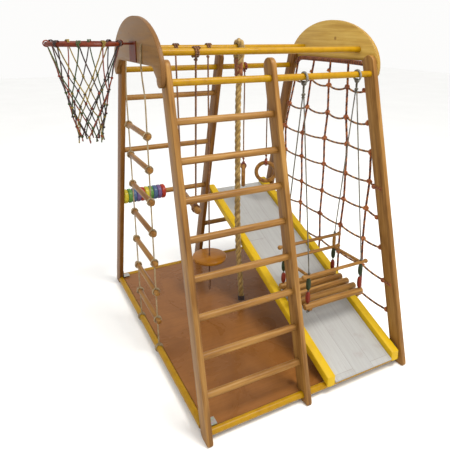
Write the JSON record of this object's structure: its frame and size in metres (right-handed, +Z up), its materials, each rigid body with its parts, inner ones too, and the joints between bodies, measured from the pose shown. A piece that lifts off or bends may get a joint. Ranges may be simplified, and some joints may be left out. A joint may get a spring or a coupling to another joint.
{
  "type": "toddler play gym with slide",
  "caption": "Wooden indoor toddler gym: A-frames, slide, ladder, climbing net, rope ladder, swing, rings, trapeze, disc swing, rope, abacus and hoop over a floor board.",
  "frame": {"origin": "on the floor, under the middle of the gym's box with the hoop", "axes": "+X along the bars from the hoop side to the net side, +Y from the front ladder to the back wall, +Z up"},
  "size_m": [1.3134, 1.308, 1.467],
  "materials": {
    "varnished_birch": "satin varnish",
    "plywood": "satin varnish",
    "yellow_paint": "glossy paint",
    "yellow_rail": "satin",
    "white_laminate": "satin laminate",
    "floor_board": "polished hardboard",
    "zinc_steel": "zinc plated",
    "hoop_red": "powder coat",
    "net_rope": "braided rope",
    "hemp_rope": "laid rope",
    "grey_cord": "braided cord",
    "bead_yellow": "gloss paint",
    "bead_green": "gloss paint",
    "bead_blue": "gloss paint",
    "bead_purple": "gloss paint",
    "bead_red": "gloss paint"
  },
  "bodies": {
    "frame": {"abacus_rod": "varnished_birch", "back_rung_1": "varnished_birch", "back_rung_2": "varnished_birch", "base_bar_back": "yellow_paint", "base_bar_front": "yellow_paint", "base_bar_left": "yellow_paint", "base_bar_right": "yellow_paint", "climbing_net": "net_rope", "corner_bracket_back_left": "zinc_steel", "corner_bracket_back_right": "zinc_steel", "corner_bracket_front_left": "zinc_steel", "corner_bracket_front_right": "zinc_steel", "floor_board": "floor_board", "front_rung_1": "varnished_birch", "front_rung_2": "varnished_birch", "front_rung_3": "varnished_birch", "front_rung_4": "varnished_birch", "front_rung_5": "varnished_birch", "front_rung_6": "varnished_birch", "front_rung_7": "varnished_birch", "front_rung_8": "varnished_birch", "gusset_left": "plywood", "gusset_right": "plywood", "hoop_net": "net_rope", "hoop_rim": "hoop_red", "leg_left_back": "varnished_birch", "leg_left_front": "varnished_birch", "leg_right_back": "varnished_birch", "leg_right_front": "varnished_birch", "low_back_rung": "varnished_birch", "lower_bar_back": "yellow_paint", "lower_bar_front": "yellow_paint", "rope_ladder": "hemp_rope", "slide_panel": "white_laminate", "slide_rail_left": "yellow_rail", "slide_rail_right": "yellow_rail", "slide_rung": "varnished_birch", "stile_back": "varnished_birch", "stile_front": "varnished_birch", "top_bar_back": "yellow_paint", "top_bar_front": "yellow_paint"},
    "swing": {"swing_seat": "varnished_birch", "swing_guard_rails": "varnished_birch", "swing_hanger_left": "grey_cord", "swing_hanger_right": "grey_cord"},
    "trapeze": {"trapeze": "varnished_birch"},
    "disc_swing": {"disc_swing": "varnished_birch"},
    "climbing_rope": {"climbing_rope": "hemp_rope"},
    "ring_left": {"ring_left": "varnished_birch"},
    "ring_right": {"ring_right": "varnished_birch"},
    "bead_01": {"abacus_bead_01": "bead_yellow"},
    "bead_02": {"abacus_bead_02": "bead_green"},
    "bead_03": {"abacus_bead_03": "bead_blue"},
    "bead_04": {"abacus_bead_04": "bead_purple"},
    "bead_05": {"abacus_bead_05": "bead_red"},
    "bead_06": {"abacus_bead_06": "bead_yellow"},
    "bead_07": {"abacus_bead_07": "bead_green"},
    "bead_08": {"abacus_bead_08": "bead_blue"},
    "bead_09": {"abacus_bead_09": "bead_purple"},
    "bead_10": {"abacus_bead_10": "bead_red"}
  },
  "joints": [
    {"name": "swing_hang", "type": "hinge", "parent": "frame", "child": "swing", "pos_m": [0.40435, -0.314, 1.237], "axis": [1, 0, 0], "range_deg": [-40, 1]},
    {"name": "trapeze_hang", "type": "hinge", "parent": "frame", "child": "trapeze", "pos_m": [-0.11315, 0, 1.336], "axis": [0.1758, 0.9844, 0], "range_deg": [-22, 11]},
    {"name": "disc_swing_hang", "type": "hinge", "parent": "frame", "child": "disc_swing", "pos_m": [0.08735, 0.21, 1.336], "axis": [1, 0, 0], "range_deg": [-28, 8]},
    {"name": "climbing_rope_hang", "type": "hinge", "parent": "frame", "child": "climbing_rope", "pos_m": [0.25235, 0.21, 1.336], "axis": [1, 0, 0], "range_deg": [-20, 0]},
    {"name": "ring_left_hang", "type": "hinge", "parent": "frame", "child": "ring_left", "pos_m": [0.34235, 0.314, 1.237], "axis": [1, 0, 0], "range_deg": [-30, 30]},
    {"name": "ring_right_hang", "type": "hinge", "parent": "frame", "child": "ring_right", "pos_m": [0.48735, 0.314, 1.237], "axis": [1, 0, 0], "range_deg": [-30, 30]},
    {"name": "bead_10_slide", "type": "slide", "parent": "frame", "child": "bead_10", "axis": [1, 0, 0], "range_m": [0, 0.2371]},
    {"name": "bead_09_slide", "type": "slide", "parent": "frame", "child": "bead_09", "axis": [1, 0, 0], "range_m": [0, 0.21339]},
    {"name": "bead_08_slide", "type": "slide", "parent": "frame", "child": "bead_08", "axis": [1, 0, 0], "range_m": [0, 0.18968]},
    {"name": "bead_07_slide", "type": "slide", "parent": "frame", "child": "bead_07", "axis": [1, 0, 0], "range_m": [0, 0.16597]},
    {"name": "bead_06_slide", "type": "slide", "parent": "frame", "child": "bead_06", "axis": [1, 0, 0], "range_m": [0, 0.14226]},
    {"name": "bead_05_slide", "type": "slide", "parent": "frame", "child": "bead_05", "axis": [1, 0, 0], "range_m": [0, 0.11855]},
    {"name": "bead_04_slide", "type": "slide", "parent": "frame", "child": "bead_04", "axis": [1, 0, 0], "range_m": [0, 0.09484]},
    {"name": "bead_03_slide", "type": "slide", "parent": "frame", "child": "bead_03", "axis": [1, 0, 0], "range_m": [0, 0.07113]},
    {"name": "bead_02_slide", "type": "slide", "parent": "frame", "child": "bead_02", "axis": [1, 0, 0], "range_m": [0, 0.04742]},
    {"name": "bead_01_slide", "type": "slide", "parent": "frame", "child": "bead_01", "axis": [1, 0, 0], "range_m": [0, 0.02371]}
  ],
  "couplings": [
    {"joint": "bead_01_slide", "follows": "bead_10_slide", "ratio": 0.1},
    {"joint": "bead_02_slide", "follows": "bead_10_slide", "ratio": 0.2},
    {"joint": "bead_03_slide", "follows": "bead_10_slide", "ratio": 0.3},
    {"joint": "bead_04_slide", "follows": "bead_10_slide", "ratio": 0.4},
    {"joint": "bead_05_slide", "follows": "bead_10_slide", "ratio": 0.5},
    {"joint": "bead_06_slide", "follows": "bead_10_slide", "ratio": 0.6},
    {"joint": "bead_07_slide", "follows": "bead_10_slide", "ratio": 0.7},
    {"joint": "bead_08_slide", "follows": "bead_10_slide", "ratio": 0.8},
    {"joint": "bead_09_slide", "follows": "bead_10_slide", "ratio": 0.9}
  ]
}
